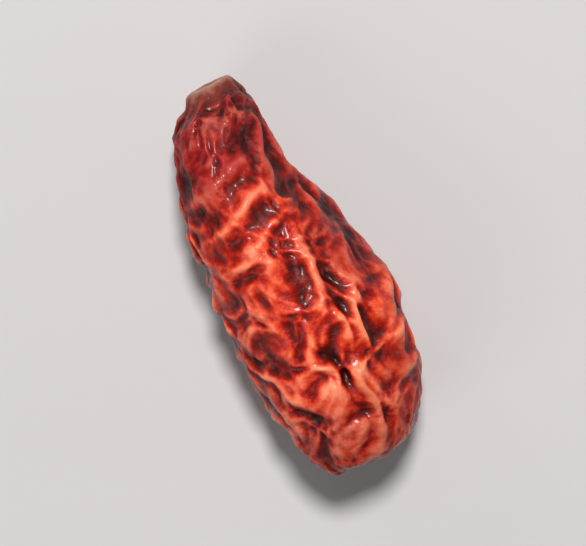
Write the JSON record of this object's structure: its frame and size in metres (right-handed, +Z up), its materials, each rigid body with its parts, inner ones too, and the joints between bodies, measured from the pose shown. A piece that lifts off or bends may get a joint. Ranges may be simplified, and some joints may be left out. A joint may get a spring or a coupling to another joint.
{
  "type": "dried barberry",
  "caption": "Small oblong dried berry with a wrinkled, folded red skin, a round stigma disc at its slim end and a stalk scar at the other, lying on its side.",
  "frame": {"origin": "on the surface that the berry rests on, under the middle of its box", "axes": "+Z up from that surface, +Y along the berry towards its stigma end"},
  "size_m": [0.0042, 0.0096, 0.0037],
  "materials": {
    "berry_skin": "wrinkled, translucent dried fruit skin with a soft gloss on its folds"
  },
  "bodies": {
    "root": {"dried_barberry": "berry_skin"}
  },
  "joints": []
}
